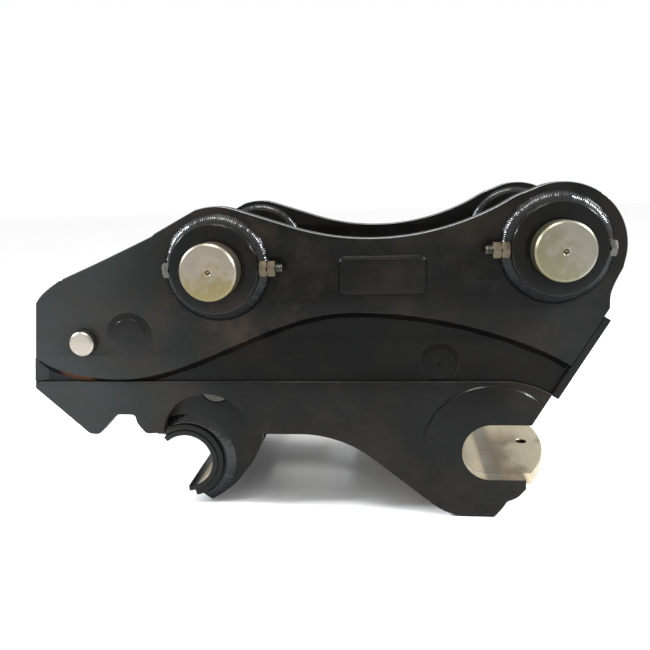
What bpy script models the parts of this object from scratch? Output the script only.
"""Hydraulic quick coupler for an excavator, as an assembly of separate pieces.

Axes: +X runs from the nose to the fixed jaw, +Y across the coupler, +Z up.
The origin lies under the middle of the assembly, level with the flat of the jaw lips.
"""

import math

import bmesh
import bpy
from mathutils import Vector

# ---- overall sizes (metres) -------------------------------------------------
BODY_LENGTH = 0.972
BODY_WIDTH = 0.410
GAP = 0.0003
RUNNING = 0.0006
ROUND_STEPS = 36
SMALL_STEPS = 20

# ---- plates -----------------------------------------------------------------
BASE_PLATE = 0.020
DOUBLER = 0.0055
JAW_PLATE = 0.003
CROSS_PLATE = 0.012

# ---- pins that carry the machine's arm and link -----------------------------
PIN_DIAMETER = 0.090
PIN_SPACING = BODY_LENGTH * 533 / 972
PIN_STANDS_OUT = 0.035
ARM_Z = 0.428
LINK_Z = 0.4505
ARM_EYE_R = 0.0985
LINK_EYE_R = 0.100
LINK_EYE_OFFSET = 0.006
BOSS_R = 0.0725
BOSS_THICK = 0.028
INNER_BOSS_R = 0.082
INNER_BOSS_THICK = 0.020

# ---- lock bolts through the bosses ------------------------------------------
BOLT_DIAMETER = 0.016
BOLT_HEAD_FLATS = 0.024
BOLT_HEAD_THICK = 0.0105
NUT_THICK = 0.0128
BOLT_TAIL = 0.010

# ---- jaws -------------------------------------------------------------------
JAW_DIAMETER = 0.095
JAW_Z = 0.116
JAW_FROM_LINK = 0.091
JAW_WALL = 0.020
JAW_PLATE_R = 0.113
FLOOR_ARC_R = 0.360
FLOOR_REACH = 0.118
DRAIN_HOLE_D = 0.020
DRAIN_HOLE_Y = -0.032

# ---- hook and its cylinder --------------------------------------------------
HOOK_FROM_ARM = BODY_LENGTH * 157.5 / 972
HOOK_Z = 0.316
HOOK_PIN_D = 0.060
HOOK_EYE_R = 0.054
MOUTH_FROM_HOOK = (0.0725, -0.2335)
ROD_PIN_FROM_HOOK = (0.133, -0.098)
ROD_PIN_D = 0.056
ROD_EYE_BOSS_R = 0.042
HOOK_PLATE = 0.025
HOOK_SIDE_PLAY = 0.009
HOOK_RIB = 0.018
HOOK_RIB_INNER_Y = 0.062
SEAT_WALL = 0.0095
COLLAR_WALL = 0.010
COLLAR_PROUD = 0.005
BACK_PLATE = 0.014
CYLINDER_PIN_FROM_JAW = -0.085
CYLINDER_PIN_Z = 0.266
CYLINDER_PIN_D = 0.056
BARREL_R = 0.055
BORE_R = 0.045
ROD_R = 0.026
CYLINDER_EYE_R = 0.046
CYLINDER_EYE_WIDTH = 0.100
ROD_EYE_WIDTH = 0.100
ROD_EYE_CLEARANCE = 0.0035
BASE_CAP_AT = 0.060
BASE_CAP_THICK = 0.016
BARREL_SHORT_OF_ROD_PIN = 0.0975
GLAND_THICK = 0.018
PISTON_THICK = 0.036
PISTON_SHORT_OF_ROD_PIN = 0.1580

# ---- safety pin -------------------------------------------------------------
SAFETY_PIN_D = 0.042
SAFETY_FROM_HOOK = 0.0785
SAFETY_Z = 0.306
SAFETY_STANDS_OUT = 0.016
FLAG_THICK = 0.010
KEEPER_BOLT_D = 0.012
KEEPER_BOLT_DROP = 0.050

# ---- outline heights --------------------------------------------------------
BELLY_Z = 0.1445
NOSE_LOW_Z = 0.2255
NOSE_HIGH_Z = 0.3745
SADDLE_Z = 0.471
SADDLE_R = 0.425
SADDLE_FROM_ARM = PIN_SPACING * 253 / 533
SEAM_Z = 0.2365
WAVE_LOW_Z = 0.2405
WAVE_TOP_Z = 0.352
ARCH_R = 0.077
TOOTH_SOFTNESS = 0.0062
NAMEPLATE_SIZE = (0.132, 0.056, 0.0045)
NAMEPLATE_Z = 0.4116

# ---- positions worked out from the sizes ------------------------------------
NOSE_X = -BODY_LENGTH / 2
LINK_EYE_X = BODY_LENGTH / 2 - LINK_EYE_R
LINK_X = LINK_EYE_X - LINK_EYE_OFFSET
ARM_X = LINK_X - PIN_SPACING
HOOK_X = ARM_X - HOOK_FROM_ARM
JAW_X = LINK_X - JAW_FROM_LINK
JAW_R = JAW_DIAMETER / 2
MOUTH = (HOOK_X + MOUTH_FROM_HOOK[0], HOOK_Z + MOUTH_FROM_HOOK[1])
ROD_PIN = (HOOK_X + ROD_PIN_FROM_HOOK[0], HOOK_Z + ROD_PIN_FROM_HOOK[1])
CYLINDER_PIN = (JAW_X + CYLINDER_PIN_FROM_JAW, CYLINDER_PIN_Z)
SAFETY_X = HOOK_X - SAFETY_FROM_HOOK
ARCH = (HOOK_X + 0.122, BELLY_Z - 0.007)
SADDLE_X = ARM_X + SADDLE_FROM_ARM
EDGE_HIGH = (LINK_X + 0.0850, 0.355)
EDGE_LOW = (JAW_X + 0.0655, 0.165)

OUTER_Y = BODY_WIDTH / 2
BASE_OUTER_Y = OUTER_Y - DOUBLER - GAP
BASE_INNER_Y = BASE_OUTER_Y - BASE_PLATE
INSIDE_Y = BASE_INNER_Y - GAP
BOSS_FACE_Y = OUTER_Y + GAP + BOSS_THICK
PIN_END_Y = BOSS_FACE_Y + PIN_STANDS_OUT
HOOK_OUTER_Y = BASE_INNER_Y - HOOK_SIDE_PLAY
HOOK_INNER_Y = HOOK_OUTER_Y - HOOK_PLATE
SEAT_R = JAW_R + SEAT_WALL

LEFT, RIGHT = -1, 1
SIDES = (("near", -1), ("far", 1))

PAINT = ((0.045, 0.048, 0.044), 0.35, 0.0)
DARK_STEEL = ((0.10, 0.10, 0.095), 0.45, 0.6)
BARE_STEEL = ((0.55, 0.53, 0.47), 0.35, 1.0)
ZINC = ((0.62, 0.55, 0.36), 0.4, 1.0)
CHROME = ((0.75, 0.75, 0.76), 0.12, 1.0)


# ---- building helpers -------------------------------------------------------
def clear_scene():
    for obj in list(bpy.data.objects):
        bpy.data.objects.remove(obj, do_unlink=True)


def make_collection(name):
    collection = bpy.data.collections.new(name)
    bpy.context.scene.collection.children.link(collection)
    return collection


def finish_object(obj, look, parent=None):
    """Gives the object its own material and puts it in the parts' collection."""
    colour, roughness, metallic = look
    material = bpy.data.materials.new(obj.name + "_material")
    material.use_nodes = True
    shader = material.node_tree.nodes["Principled BSDF"]
    shader.inputs["Base Color"].default_value = (*colour, 1.0)
    shader.inputs["Roughness"].default_value = roughness
    shader.inputs["Metallic"].default_value = metallic
    obj.data.materials.append(material)
    PARTS.objects.link(obj)
    obj.parent = parent
    if obj.type == "MESH":
        obj.data.shade_smooth()
        obj.data.set_sharp_from_angle(angle=math.radians(30))
    return obj


def arc(centre, radius, start, end, count):
    """Points on an arc in the XZ plane, from one angle to another, in degrees."""
    points = []
    for i in range(count + 1):
        angle = math.radians(start + (end - start) * i / count)
        points.append((centre[0] + radius * math.cos(angle), centre[1] + radius * math.sin(angle)))
    return points


def circle(centre, radius, count=ROUND_STEPS):
    return arc(centre, radius, 0, 360, count)[:-1]


def plate(name, look, outline, holes, y_low, y_high, parent=None, origin=(0.0, 0.0)):
    """A flat piece standing in the XZ plane, between two places across the coupler."""
    curve = bpy.data.curves.new(name, "CURVE")
    curve.dimensions = "2D"
    curve.fill_mode = "BOTH"
    curve.extrude = (y_high - y_low) / 2
    for loop in (outline, *holes):
        spline = curve.splines.new("POLY")
        spline.points.add(len(loop) - 1)
        for point, (x, z) in zip(spline.points, loop):
            point.co = (x - origin[0], z - origin[1], 0.0, 1.0)
        spline.use_cyclic_u = True
    flat = bpy.data.objects.new(name + "_curve", curve)
    bpy.context.scene.collection.objects.link(flat)
    depsgraph = bpy.context.evaluated_depsgraph_get()
    mesh = bpy.data.meshes.new_from_object(flat.evaluated_get(depsgraph))
    bpy.data.objects.remove(flat, do_unlink=True)
    weld_mesh(mesh)
    obj = bpy.data.objects.new(name, mesh)
    obj.rotation_euler = (math.pi / 2, 0.0, 0.0)
    obj.location = (origin[0], (y_low + y_high) / 2, origin[1])
    if parent is not None:
        obj.location = obj.location - parent.location
    return finish_object(obj, look, parent)


def weld_mesh(mesh):
    shape = bmesh.new()
    shape.from_mesh(mesh)
    bmesh.ops.remove_doubles(shape, verts=shape.verts, dist=0.00001)
    bmesh.ops.recalc_face_normals(shape, faces=shape.faces)
    shape.to_mesh(mesh)
    shape.free()


def turned(name, look, profile, steps, location, rotation, parent=None, ring=False):
    """A turned piece: the profile is (radius, height) down its outer side; a ring's profile closes."""
    mesh = bpy.data.meshes.new(name)
    edges = [(i, i + 1) for i in range(len(profile) - 1)]
    if ring:
        edges.append((len(profile) - 1, 0))
    mesh.from_pydata([(radius, 0.0, height) for radius, height in profile], edges, [])
    obj = bpy.data.objects.new(name, mesh)
    screw = obj.modifiers.new("Turn", "SCREW")
    screw.steps = steps
    screw.render_steps = steps
    screw.use_merge_vertices = True
    screw.merge_threshold = 0.00001
    obj.location = location
    obj.rotation_euler = rotation
    return finish_object(obj, look, parent)


ACROSS = (math.pi / 2, 0.0, 0.0)


def disc_profile(radius, low, high, chamfer=0.0):
    if not chamfer:
        return [(0.0, high), (radius, high), (radius, low), (0.0, low)]
    return [(0.0, high), (radius - chamfer, high), (radius, high - chamfer),
            (radius, low + chamfer), (radius - chamfer, low), (0.0, low)]


def ring_profile(inner, outer, low, high):
    return [(inner, high), (outer, high), (outer, low), (inner, low)]


def cylinder_tool(name, radius, length, location, rotation, steps=SMALL_STEPS):
    """A cutter: a plain cylinder, left out of the model."""
    mesh = bpy.data.meshes.new(name)
    shape = bmesh.new()
    bmesh.ops.create_cone(shape, cap_ends=True, segments=steps, radius1=radius, radius2=radius, depth=length)
    shape.to_mesh(mesh)
    shape.free()
    tool = bpy.data.objects.new(name, mesh)
    tool.location = location
    tool.rotation_euler = rotation
    tool.hide_render = True
    tool.display_type = "WIRE"
    CUTTERS.objects.link(tool)
    return tool


def cut(obj, tool):
    modifier = obj.modifiers.new("Cut " + tool.name, "BOOLEAN")
    modifier.operation = "DIFFERENCE"
    modifier.solver = "EXACT"
    modifier.object = tool


def box(name, look, size, location, rotation=(0.0, 0.0, 0.0), bevel=0.0, parent=None):
    mesh = bpy.data.meshes.new(name)
    shape = bmesh.new()
    bmesh.ops.create_cube(shape, size=1.0)
    bmesh.ops.scale(shape, vec=size, verts=shape.verts)
    shape.to_mesh(mesh)
    shape.free()
    obj = bpy.data.objects.new(name, mesh)
    obj.location = location
    obj.rotation_euler = rotation
    if bevel:
        rounding = obj.modifiers.new("Edges", "BEVEL")
        rounding.width = bevel
        rounding.segments = 2
    return finish_object(obj, look, parent)


def empty(name, location, rotation=(0.0, 0.0, 0.0)):
    obj = bpy.data.objects.new(name, None)
    obj.location = location
    obj.rotation_euler = rotation
    PARTS.objects.link(obj)
    return obj


# ---- outlines of the side plates --------------------------------------------
def edge_x(z):
    """X of the slanting edge behind the fixed jaw at a height."""
    share = (z - EDGE_LOW[1]) / (EDGE_HIGH[1] - EDGE_LOW[1])
    return EDGE_LOW[0] + share * (EDGE_HIGH[0] - EDGE_LOW[0])


def nose_x(z):
    """X of the nose's straight edge at a height."""
    return NOSE_X + 0.018 * (z - NOSE_LOW_Z) / (NOSE_HIGH_Z - NOSE_LOW_Z)


def saddle():
    """The hollow top edge between the two eyes."""
    centre = (SADDLE_X, SADDLE_Z + SADDLE_R)
    left = math.degrees(math.asin(-0.1315 / SADDLE_R))
    right = math.degrees(math.asin((LINK_EYE_X - 0.068 - SADDLE_X) / SADDLE_R))
    return arc(centre, SADDLE_R, left - 90, right - 90, 12)


def top_edge():
    """From the top of the nose over both eyes to the slanting edge."""
    return [
        (nose_x(NOSE_HIGH_Z), NOSE_HIGH_Z), (NOSE_X + 0.0263, 0.3846), (NOSE_X + 0.045, 0.400),
        (NOSE_X + 0.069, 0.4144), (NOSE_X + 0.1373, 0.4425), (ARM_X - 0.108, 0.4805),
        (ARM_X - 0.099, 0.4868), *arc((ARM_X, ARM_Z), ARM_EYE_R, 110, 71, 6),
        *saddle(), *arc((LINK_EYE_X, LINK_Z), LINK_EYE_R, 116, -14, 18),
        (LINK_EYE_X + 0.095, LINK_Z - 0.0336), (LINK_EYE_X + 0.084, LINK_Z - 0.0578),
        (LINK_EYE_X + 0.0795, LINK_Z - 0.0723), EDGE_HIGH,
    ]


def jaw_edge():
    """From the slanting edge round the slot and the lip."""
    return [
        (edge_x(JAW_Z + JAW_R), JAW_Z + JAW_R), *arc((JAW_X, JAW_Z), JAW_R, 90, 270, 16),
        (JAW_X + 0.0578, JAW_Z - JAW_R), (JAW_X + 0.058, 0.050), (JAW_X + 0.044, 0.0356),
        (JAW_X + 0.028, 0.028), (JAW_X + 0.0184, 0.0134), (JAW_X + 0.007, 0.0),
        *arc((JAW_X - 0.033, 0.100), 0.100, 270, 230, 5),
    ]


def belly():
    """The lower edge, from the foot of the lip to the arch over the hook."""
    bend = 0.195
    curve = arc((ARM_X + 0.125, BELLY_Z - bend), bend, 50, 90, 7)
    spread = math.degrees(math.asin((BELLY_Z - ARCH[1]) / ARCH_R))
    return [*curve, *arc(ARCH, ARCH_R, spread, 180 - spread, 16)]


def softened(corners, reach):
    """Each corner but the first and last gives way to points of a curve that touches both of its sides."""
    points = [corners[0]]
    for before, corner, after in zip(corners, corners[1:], corners[2:]):
        middle = Vector(corner)
        start = middle + (Vector(before) - middle).normalized() * reach
        end = middle + (Vector(after) - middle).normalized() * reach
        for share in (0.0, 0.33, 0.67, 1.0):
            blend = start * (1 - share) ** 2 + middle * 2 * share * (1 - share) + end * share ** 2
            points.append((blend.x, blend.y))
    return points


def tooth_edge():
    """The notch and tooth under the nose."""
    corners = [
        (HOOK_X + 0.030, BELLY_Z), (HOOK_X + 0.0147, BELLY_Z - 0.001), (HOOK_X - 0.0005, 0.163),
        (HOOK_X - 0.0023, 0.1775), (HOOK_X - 0.0342, 0.178), (HOOK_X - 0.0690, BELLY_Z - 0.003),
        (HOOK_X - 0.0858, BELLY_Z - 0.002), (NOSE_X, NOSE_LOW_Z),
    ]
    return softened(corners, TOOTH_SOFTNESS)


def wave():
    """The lower edge of the upper doubler, from the nose to the slanting edge."""
    top_x = ARM_X + PIN_SPACING * 214 / 533
    low_x = HOOK_X - 0.023
    start_z = WAVE_LOW_Z + 0.040
    points = [
        (nose_x(start_z), start_z), (low_x - 0.1355, WAVE_LOW_Z + 0.0315),
        (low_x - 0.119, WAVE_LOW_Z + 0.022), (low_x - 0.090, WAVE_LOW_Z + 0.0115),
        (low_x - 0.0445, WAVE_LOW_Z + 0.003),
    ]
    for i in range(13):
        share = i / 12
        rise = share * share * (3 - 2 * share)
        points.append((low_x + share * (top_x - low_x), WAVE_LOW_Z + rise * (WAVE_TOP_Z - WAVE_LOW_Z)))
    fall_r = 0.740
    end_z = 0.262
    end_x = edge_x(end_z)
    for i in range(1, 10):
        x = top_x + (end_x - top_x) * i / 10
        points.append((x, WAVE_TOP_Z - fall_r + math.sqrt(fall_r ** 2 - (x - top_x) ** 2)))
    points.append((end_x, end_z))
    return points


def side_outline():
    return [(NOSE_X, NOSE_LOW_Z), *top_edge(), *jaw_edge(), *belly(), *tooth_edge()]


def upper_doubler_outline():
    return [*top_edge(), *reversed(wave())]


def lower_doubler_outline():
    end_z = 0.215
    top = [(nose_x(SEAM_Z), SEAM_Z), (JAW_X + 0.013, SEAM_Z), (JAW_X + 0.060, SEAM_Z - 0.007),
           (edge_x(end_z), end_z)]
    return [(NOSE_X, NOSE_LOW_Z), *top, *jaw_edge(), *belly(), *tooth_edge()]


def jaw_plate_outline():
    """A band round the slot that narrows towards the lip."""
    centre = (JAW_X, JAW_Z)
    outer = arc(centre, JAW_PLATE_R, 48, 165, 12)
    under_r = JAW_PLATE_R - 0.021
    outer += arc(centre, under_r, 215, 268, 6)
    outer += [(JAW_X + 0.028, 0.034), (JAW_X + 0.0575, 0.052), (JAW_X + 0.0575, JAW_Z - JAW_R)]
    inner = arc(centre, JAW_R, 270, 90, 16)
    return [*outer, *inner, (edge_x(JAW_Z + JAW_R) - 0.001, JAW_Z + JAW_R)]


# ---- the frame --------------------------------------------------------------
def build_side(side, sign):
    """One side: base plate, its two doublers, and the plate round the jaw slot."""
    clear_r = PIN_DIAMETER / 2 + GAP
    pin_holes = [circle((ARM_X, ARM_Z), clear_r), circle((LINK_X, LINK_Z), clear_r)]
    hook_hole = circle((HOOK_X, HOOK_Z), HOOK_PIN_D / 2 + GAP)
    cylinder_hole = circle(CYLINDER_PIN, CYLINDER_PIN_D / 2 + GAP)
    safety_hole = circle((SAFETY_X, SAFETY_Z), SAFETY_PIN_D / 2 + RUNNING, SMALL_STEPS)

    def between(a, b):
        return sorted((sign * a, sign * b))

    plate("side_plate_" + side, PAINT, side_outline(),
          [*pin_holes, hook_hole, cylinder_hole, safety_hole], *between(BASE_INNER_Y, BASE_OUTER_Y))
    plate("upper_doubler_" + side, PAINT, upper_doubler_outline(),
          [*pin_holes, hook_hole, safety_hole], *between(BASE_OUTER_Y + GAP, OUTER_Y))
    plate("lower_doubler_" + side, PAINT, lower_doubler_outline(), [],
          *between(BASE_OUTER_Y + GAP, OUTER_Y))
    plate("jaw_plate_" + side, PAINT, jaw_plate_outline(), [],
          *between(OUTER_Y + GAP, OUTER_Y + GAP + JAW_PLATE))


def build_bosses():
    """Outer and inner rings round both machine pins."""
    bore = PIN_DIAMETER / 2 + GAP
    middle = OUTER_Y + GAP + BOSS_THICK / 2
    for label, x, z in (("arm", ARM_X, ARM_Z), ("link", LINK_X, LINK_Z)):
        for side, sign in SIDES:
            outer_y = sign * middle
            ring = turned(f"{label}_boss_{side}", PAINT,
                          ring_profile(bore, BOSS_R, -BOSS_THICK / 2, BOSS_THICK / 2), ROUND_STEPS,
                          (x, outer_y, z), ACROSS, ring=True)
            if sign < 0:
                cut(ring, BOLT_TOOLS[label])
            inner_y = sign * (INSIDE_Y - INNER_BOSS_THICK / 2)
            turned(f"{label}_inner_boss_{side}", PAINT,
                   ring_profile(bore, INNER_BOSS_R, -INNER_BOSS_THICK / 2, INNER_BOSS_THICK / 2),
                   ROUND_STEPS, (x, inner_y, z), ACROSS, ring=True)


def build_machine_pins():
    for label, x, z in (("arm", ARM_X, ARM_Z), ("link", LINK_X, LINK_Z)):
        pin = turned(label + "_pin", BARE_STEEL, disc_profile(PIN_DIAMETER / 2, -PIN_END_Y, PIN_END_Y, 0.003),
                     ROUND_STEPS, (x, 0.0, z), ACROSS)
        cut(pin, BOLT_TOOLS[label])


def make_bolt_tools():
    bore = BOLT_DIAMETER / 2 + GAP
    length = 2 * BOSS_R + 0.05
    y = -(OUTER_Y + GAP + BOSS_THICK / 2)
    tools = {}
    for label, x, z in (("arm", ARM_X, ARM_Z), ("link", LINK_X, LINK_Z)):
        tools[label] = cylinder_tool(label + "_bolt_hole", bore, length, (x, y, z), (0.0, math.pi / 2, 0.0))
    return tools


def hexagon(flats):
    return [(flats / math.sqrt(3) * math.cos(math.radians(60 * i + 30)),
             flats / math.sqrt(3) * math.sin(math.radians(60 * i + 30))) for i in range(6)]


def build_lock_bolts():
    """A long bolt through each near boss and its pin, with a nut and a locknut."""
    y = -(OUTER_Y + GAP + BOSS_THICK / 2)
    seat = BOSS_R + GAP
    for label, x, z, way in (("arm", ARM_X, ARM_Z, RIGHT), ("link", LINK_X, LINK_Z, LEFT)):
        rotation = (0.0, way * math.pi / 2, 0.0)
        shank_end = seat + 2 * NUT_THICK + 2 * GAP + BOLT_TAIL
        bolt = hex_bolt(label + "_lock_bolt", DARK_STEEL, BOLT_DIAMETER, BOLT_HEAD_FLATS, BOLT_HEAD_THICK,
                        -seat, shank_end)
        bolt.location = (x, y, z)
        bolt.rotation_euler = rotation
        for i, piece in enumerate(("nut", "locknut")):
            low = seat + i * (NUT_THICK + GAP)
            nut = hex_nut(f"{label}_{piece}", ZINC, BOLT_HEAD_FLATS, BOLT_DIAMETER, low, low + NUT_THICK)
            nut.location = (x, y, z)
            nut.rotation_euler = rotation


def hex_bolt(name, look, diameter, flats, head, under_head, end):
    """A hex bolt along its own Z: head below under_head, shank from there to the end."""
    mesh = bpy.data.meshes.new(name)
    shape = bmesh.new()
    start = under_head - head
    corners = [shape.verts.new((x, y, start)) for x, y in hexagon(flats)]
    base = shape.faces.new(list(reversed(corners)))
    top = bmesh.ops.extrude_face_region(shape, geom=[base])
    moved = [v for v in top["geom"] if isinstance(v, bmesh.types.BMVert)]
    bmesh.ops.translate(shape, verts=moved, vec=(0.0, 0.0, head))
    bmesh.ops.recalc_face_normals(shape, faces=shape.faces)
    shape.to_mesh(mesh)
    shape.free()
    obj = finish_object(bpy.data.objects.new(name, mesh), look)
    shank = cylinder_tool(name + "_shank", diameter / 2, end - start - head / 2,
                          (0.0, 0.0, (end + start + head / 2) / 2), (0.0, 0.0, 0.0), SMALL_STEPS)
    shank.parent = obj
    join = obj.modifiers.new("Shank", "BOOLEAN")
    join.operation = "UNION"
    join.solver = "EXACT"
    join.object = shank
    return obj


def hex_nut(name, look, flats, bore, low, high):
    """A nut along its own Z, between two heights."""
    hole = circle((0.0, 0.0), bore / 2 + GAP, SMALL_STEPS)
    nut = plate(name, look, hexagon(flats), [hole], low, high)
    for vertex in nut.data.vertices:
        vertex.co.z += (low + high) / 2
    return nut


def build_nameplate():
    length, height, thick = NAMEPLATE_SIZE
    corner = 0.008
    x = (ARM_X + LINK_X) / 2
    outline = []
    for sx, sz, start in ((1, 1, 0), (-1, 1, 90), (-1, -1, 180), (1, -1, 270)):
        centre = (x + sx * (length / 2 - corner), NAMEPLATE_Z + sz * (height / 2 - corner))
        outline += arc(centre, corner, start, start + 90, 4)
    face = -(OUTER_Y + GAP)
    plate("nameplate_pad", PAINT, outline, [], face - thick, face)


def build_jaw_liner():
    """The full-width liner of the fixed jaw: a lying U whose floor runs out to a curved edge."""
    centre = (JAW_X, JAW_Z)
    outer_r = JAW_R + JAW_WALL
    top_end = edge_x(JAW_Z + outer_r) - 0.004
    floor_end = JAW_X + FLOOR_REACH
    outline = [(top_end, JAW_Z + outer_r), *arc(centre, outer_r, 90, 270, 14),
               (floor_end, JAW_Z - outer_r), (floor_end, JAW_Z - JAW_R),
               *arc(centre, JAW_R, 270, 90, 16), (top_end, JAW_Z + JAW_R)]
    liner = plate("jaw_liner", BARE_STEEL, outline, [], -INSIDE_Y, INSIDE_Y)
    rim = cylinder_tool("floor_edge", FLOOR_ARC_R, 0.2, (floor_end - FLOOR_ARC_R, 0.0, 0.0),
                        (0.0, 0.0, 0.0), 96)
    cut(liner, edge_remover("floor_remover", rim, floor_end))
    drain = cylinder_tool("drain_hole", DRAIN_HOLE_D / 2, 0.2,
                          (JAW_X + 0.080, DRAIN_HOLE_Y, 0.0), (0.0, 0.0, 0.0), SMALL_STEPS)
    cut(liner, drain)


def edge_remover(name, rim, floor_end):
    """A block with the rim's round taken out, which leaves the floor a curved edge."""
    mesh = bpy.data.meshes.new(name)
    shape = bmesh.new()
    bmesh.ops.create_cube(shape, size=1.0)
    start = JAW_X + 0.050
    bmesh.ops.scale(shape, vec=(floor_end + 0.05 - start, BODY_WIDTH + 0.1, 0.16), verts=shape.verts)
    bmesh.ops.translate(shape, vec=((floor_end + 0.05 + start) / 2, 0.0, 0.0), verts=shape.verts)
    shape.to_mesh(mesh)
    shape.free()
    block = bpy.data.objects.new(name, mesh)
    block.hide_render = True
    block.display_type = "WIRE"
    CUTTERS.objects.link(block)
    cut(block, rim)
    return block


def slanted_box(name, look, start, end, thick, outward, width):
    """A cross plate whose back lies along a line in the XZ plane, thick to one side of it."""
    run = Vector((end[0] - start[0], end[1] - start[1]))
    normal = Vector((run.y, -run.x)).normalized() * outward
    middle = (Vector(start) + Vector(end)) / 2 + normal * thick / 2
    angle = -math.atan2(run.y, run.x)
    return box(name, look, (run.length, width, thick), (middle.x, 0.0, middle.y), (0.0, angle, 0.0), 0.0015)


def build_cross_members():
    run = (Vector(EDGE_HIGH) - Vector(EDGE_LOW)).normalized()
    out = Vector((run.y, -run.x)) * GAP
    low = Vector((edge_x(0.213), 0.213)) + out
    high = Vector((edge_x(0.342), 0.342)) + out
    slanted_box("rear_cross_plate", PAINT, low, high, CROSS_PLATE, RIGHT, BODY_WIDTH)
    width = 2 * INSIDE_Y
    deck_low = HOOK_X + 0.281
    deck_high = edge_x(0.332) - 0.020
    box("top_deck", PAINT, (deck_high - deck_low, width, CROSS_PLATE),
        ((deck_high + deck_low) / 2, 0.0, 0.332 + CROSS_PLATE / 2), bevel=0.0015)
    slanted_box("nose_plate", PAINT, (nose_x(0.235) + 0.004, 0.235), (nose_x(0.368) + 0.004, 0.368),
                CROSS_PLATE, RIGHT, width)
    slanted_box("nose_top_plate", PAINT, (NOSE_X + 0.072, 0.411), (HOOK_X + 0.010, 0.4615), CROSS_PLATE,
                RIGHT, width)


def build_cylinder_lugs():
    """Two ribs that carry the cylinder's base pin between the deck and the jaw liner."""
    x, z = CYLINDER_PIN
    top = 0.332 - GAP
    liner_top = JAW_Z + JAW_R + JAW_WALL + GAP
    outline = [(x - 0.050, z), (x - 0.058, top), (x + 0.112, top), (x + 0.120, z - 0.030),
               (x + 0.120, liner_top), (x + 0.083, liner_top), (x + 0.030, liner_top + 0.012),
               *arc(CYLINDER_PIN, 0.050, 290, 190, 8)]
    hole = circle(CYLINDER_PIN, CYLINDER_PIN_D / 2 + GAP)
    inner = CYLINDER_EYE_WIDTH / 2 + 0.010
    for side, sign in SIDES:
        plate("cylinder_lug_" + side, PAINT, outline, [hole], *sorted((sign * inner, sign * (inner + 0.020))))


def build_fixed_pins():
    turned("hook_pivot_pin", PAINT, disc_profile(HOOK_PIN_D / 2, -OUTER_Y - 0.002, OUTER_Y + 0.002, 0.002),
           ROUND_STEPS, (HOOK_X, 0.0, HOOK_Z), ACROSS)
    x, z = CYLINDER_PIN
    turned("cylinder_base_pin", PAINT,
           disc_profile(CYLINDER_PIN_D / 2, -BASE_OUTER_Y - 0.001, BASE_OUTER_Y + 0.001, 0.001),
           ROUND_STEPS, (x, 0.0, z), ACROSS)
    washer = (HOOK_SIDE_PLAY - 2 * GAP) / 2
    for side, sign in SIDES:
        y = sign * (HOOK_OUTER_Y + HOOK_SIDE_PLAY / 2)
        turned("hook_washer_" + side, DARK_STEEL,
               ring_profile(HOOK_PIN_D / 2 + RUNNING, HOOK_EYE_R - 0.006, -washer, washer), ROUND_STEPS,
               (HOOK_X, y, HOOK_Z), ACROSS, ring=True)


# ---- the hook ---------------------------------------------------------------
def from_mouth(dx, dz):
    return (MOUTH[0] + dx, MOUTH[1] + dz)


def hook_back_points():
    """The hook's outer edge, from beside the mouth down to the tip."""
    return [from_mouth(0.133, 0.025), from_mouth(0.123, 0.004), from_mouth(0.1075, -0.0187),
            from_mouth(0.0843, -0.0458), from_mouth(0.0652, -0.0615), from_mouth(0.0461, -0.0734)]


def hook_outline():
    clear = SEAT_R + GAP
    return [
        *arc((HOOK_X, HOOK_Z), HOOK_EYE_R, 215, 50, 14),
        *arc(ROD_PIN, ROD_EYE_BOSS_R, 75, -5, 7),
        from_mouth(0.134, 0.088), from_mouth(0.139, 0.068), from_mouth(0.138, 0.0508),
        *hook_back_points(), from_mouth(0.0405, -0.0754), from_mouth(0.0193, -0.0603),
        *arc(MOUTH, clear, 285, 485, 22),
        from_mouth(-0.050, clear - 0.0103), from_mouth(-0.060, 0.088),
    ]


def rib_outline():
    """The inner ribs leave out the lower part of the hook's arm."""
    clear = SEAT_R + GAP
    return [
        *arc((HOOK_X, HOOK_Z), HOOK_EYE_R, 215, 50, 14),
        *arc(ROD_PIN, ROD_EYE_BOSS_R, 75, -40, 9),
        from_mouth(0.078, 0.050), from_mouth(0.074, 0.020),
        *arc(MOUTH, clear, 10, 122, 12),
        from_mouth(-0.038, clear - 0.0063), from_mouth(-0.052, 0.088),
    ]


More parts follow.
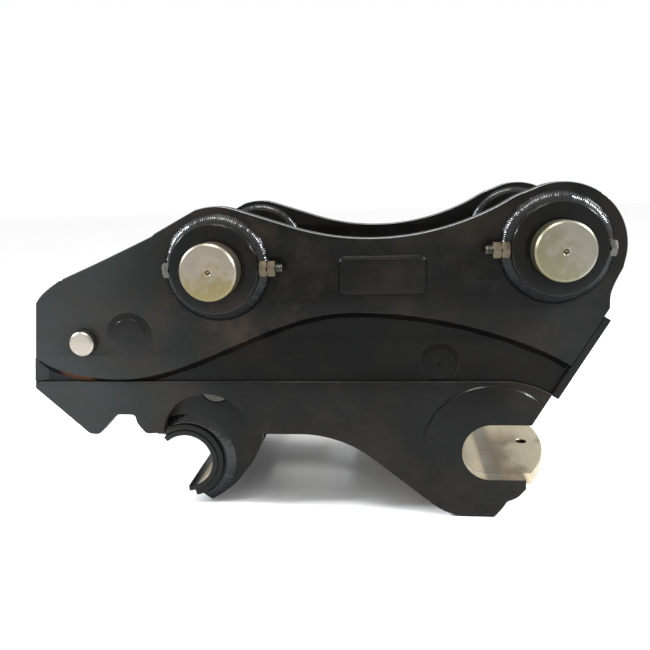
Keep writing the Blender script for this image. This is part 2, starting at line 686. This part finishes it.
def build_hook(axis):
    origin = (HOOK_X, HOOK_Z)
    pivot_hole = circle(origin, HOOK_PIN_D / 2 + RUNNING)
    rod_hole = circle(ROD_PIN, ROD_PIN_D / 2 + GAP)
    collar_in = SEAT_R + GAP
    collar_out = collar_in + COLLAR_WALL
    collar = [*arc(MOUTH, collar_out, 283, 486, 20), *arc(MOUTH, collar_in, 486, 283, 20)]
    rib_outer = HOOK_RIB_INNER_Y + HOOK_RIB
    for side, sign in SIDES:
        plate("hook_cheek_" + side, PAINT, hook_outline(), [pivot_hole, rod_hole],
              *sorted((sign * HOOK_INNER_Y, sign * HOOK_OUTER_Y)), axis, origin)
        plate("hook_rib_" + side, PAINT, rib_outline(), [pivot_hole, rod_hole],
              *sorted((sign * HOOK_RIB_INNER_Y, sign * rib_outer)), axis, origin)
        plate("hook_collar_" + side, PAINT, collar, [],
              *sorted((sign * (HOOK_OUTER_Y + GAP), sign * (HOOK_OUTER_Y + COLLAR_PROUD))), axis, origin)
    seat = [*arc(MOUTH, SEAT_R, 272, 491, 24), *arc(MOUTH, JAW_R, 491, 272, 24)]
    seat_y = HOOK_OUTER_Y + COLLAR_PROUD + 0.0015
    plate("hook_seat", BARE_STEEL, seat, [], -seat_y, seat_y, axis, origin)
    back = hook_back_points()
    inner = []
    for x, z in reversed(back):
        toward = (Vector(MOUTH) - Vector((x, z))).normalized() * BACK_PLATE
        inner.append((x + toward.x, z + toward.y))
    back_y = HOOK_INNER_Y - GAP
    plate("hook_back_plate", PAINT, back + inner, [], -back_y, back_y, axis, origin)
    pin_y = HOOK_OUTER_Y + 0.002
    turned("rod_pin", BARE_STEEL, disc_profile(ROD_PIN_D / 2, -pin_y, pin_y, 0.002), ROUND_STEPS,
           (ROD_PIN[0] - HOOK_X, 0.0, ROD_PIN[1] - HOOK_Z), ACROSS, axis)


# ---- the cylinder, along its axis from the base pin to the rod pin -----------
def rod_length():
    return (Vector(ROD_PIN) - Vector(CYLINDER_PIN)).length


def local_eye(name, look, width, centre_at, radius, bore, neck_to, neck_half, parent):
    """An eye across the cylinder's axis, with a neck along it."""
    bend = math.degrees(math.asin(neck_half / radius))
    ends = (90 - bend, bend - 270) if neck_to > centre_at else (bend - 90, 270 - bend)
    outline = [(neck_half, neck_to), *arc((0.0, centre_at), radius, *ends, 20), (-neck_half, neck_to)]
    return plate(name, look, outline, [circle((0.0, centre_at), bore)], -width / 2, width / 2, None, (0, 0))


def build_cylinder(axis, rod_axis):
    length = rod_length()
    half = CYLINDER_EYE_WIDTH / 2
    eye = local_eye("cylinder_base_eye", PAINT, 2 * half, 0.0, CYLINDER_EYE_R, CYLINDER_PIN_D / 2 + RUNNING,
                    BASE_CAP_AT - GAP, 0.036, axis)
    eye.parent = axis
    cap_end = BASE_CAP_AT + BASE_CAP_THICK
    barrel_end = length - BARREL_SHORT_OF_ROD_PIN
    turned("cylinder_base_cap", PAINT, disc_profile(BARREL_R, BASE_CAP_AT, cap_end), ROUND_STEPS,
           (0, 0, 0), (0, 0, 0), axis)
    turned("cylinder_barrel", PAINT, ring_profile(BORE_R, BARREL_R, cap_end + GAP, barrel_end),
           ROUND_STEPS, (0, 0, 0), (0, 0, 0), axis, ring=True)
    gland_low = barrel_end + GAP
    turned("cylinder_gland", DARK_STEEL,
           [(ROD_R + RUNNING, gland_low + GLAND_THICK), (BARREL_R - 0.004, gland_low + GLAND_THICK),
            (BARREL_R, gland_low + GLAND_THICK - 0.004), (BARREL_R, gland_low),
            (BORE_R - GAP, gland_low), (BORE_R - GAP, gland_low - 0.022), (ROD_R + RUNNING, gland_low - 0.022)],
           ROUND_STEPS, (0, 0, 0), (0, 0, 0), axis, ring=True)
    block_y = BARREL_R + 0.024
    box("valve_block", DARK_STEEL, (0.050, 0.046, 0.110), (0.0, block_y, 0.150), bevel=0.002, parent=axis)
    for label, at in (("a", 0.118), ("b", 0.182)):
        turned("port_fitting_" + label, ZINC,
               [(0.006, 0.026), (0.011, 0.026), (0.011, 0.012), (0.014, 0.012), (0.014, 0.0), (0.006, 0.0)],
               SMALL_STEPS, (0.0, block_y + 0.023 + GAP, at), (-math.pi / 2, 0.0, 0.0), axis, ring=True)
    piston_at = length - PISTON_SHORT_OF_ROD_PIN
    piston_end = piston_at + PISTON_THICK
    turned("piston", DARK_STEEL, disc_profile(BORE_R - RUNNING, piston_at, piston_end, 0.002), ROUND_STEPS,
           (0, 0, 0), (0, 0, 0), rod_axis)
    neck_at = length - ROD_EYE_BOSS_R - 0.002
    turned("piston_rod", CHROME, disc_profile(ROD_R, piston_end + GAP, neck_at), ROUND_STEPS,
           (0, 0, 0), (0, 0, 0), rod_axis)
    rod_eye = local_eye("rod_eye", PAINT, ROD_EYE_WIDTH, length, ROD_EYE_BOSS_R - 0.001,
                        ROD_PIN_D / 2 + ROD_EYE_CLEARANCE, neck_at + GAP, 0.030, rod_axis)
    rod_eye.parent = rod_axis


# ---- the safety pin ---------------------------------------------------------
def build_safety_pin(axis):
    flag_y = OUTER_Y + 0.016
    tip_y = OUTER_Y + SAFETY_STANDS_OUT
    turned("safety_pin", BARE_STEEL, disc_profile(SAFETY_PIN_D / 2, -flag_y, tip_y, 0.002), ROUND_STEPS,
           (0, 0, 0), ACROSS, axis)
    outline = [*arc((SAFETY_X, SAFETY_Z), 0.032, 180, 0, 12),
               *arc((SAFETY_X, SAFETY_Z - KEEPER_BOLT_DROP), 0.018, 0, -180, 8)]
    bolt_hole = circle((SAFETY_X, SAFETY_Z - KEEPER_BOLT_DROP), KEEPER_BOLT_D / 2 + GAP, SMALL_STEPS)
    low = flag_y + GAP
    plate("safety_pin_flag", PAINT, outline, [bolt_hole], low, low + FLAG_THICK, axis, (SAFETY_X, SAFETY_Z))
    boss_end = flag_y - 0.0005
    turned("keeper_boss", DARK_STEEL,
           ring_profile(KEEPER_BOLT_D / 2 + RUNNING, 0.0125, OUTER_Y + GAP, boss_end), SMALL_STEPS,
           (SAFETY_X, 0.0, SAFETY_Z - KEEPER_BOLT_DROP), (-math.pi / 2, 0.0, 0.0), ring=True)
    bolt = hex_bolt("keeper_bolt", ZINC, KEEPER_BOLT_D, 0.018, 0.0075, -(low + FLAG_THICK + GAP),
                    -(OUTER_Y + 0.003))
    bolt.location = (0.0, 0.0, -KEEPER_BOLT_DROP)
    bolt.rotation_euler = (math.pi / 2, 0.0, 0.0)
    bolt.parent = axis


def build_hook_and_cylinder():
    hook_axis = empty("hook_axis", (HOOK_X, 0.0, HOOK_Z))
    build_hook(hook_axis)
    reach = Vector(ROD_PIN) - Vector(CYLINDER_PIN)
    lean = math.atan2(reach.x, reach.y)
    cylinder_axis = empty("cylinder_axis", (CYLINDER_PIN[0], 0.0, CYLINDER_PIN[1]), (0.0, lean, 0.0))
    rod_axis = empty("rod_axis", (0.0, 0.0, 0.0))
    rod_axis.parent = cylinder_axis
    build_cylinder(cylinder_axis, rod_axis)


def main():
    for side, sign in SIDES:
        build_side(side, sign)
    build_bosses()
    build_machine_pins()
    build_lock_bolts()
    build_nameplate()
    build_jaw_liner()
    build_cross_members()
    build_cylinder_lugs()
    build_fixed_pins()
    build_hook_and_cylinder()
    build_safety_pin(empty("safety_axis", (SAFETY_X, 0.0, SAFETY_Z)))


clear_scene()
PARTS = make_collection("quick_coupler")
CUTTERS = make_collection("cutters")
BOLT_TOOLS = make_bolt_tools()
main()
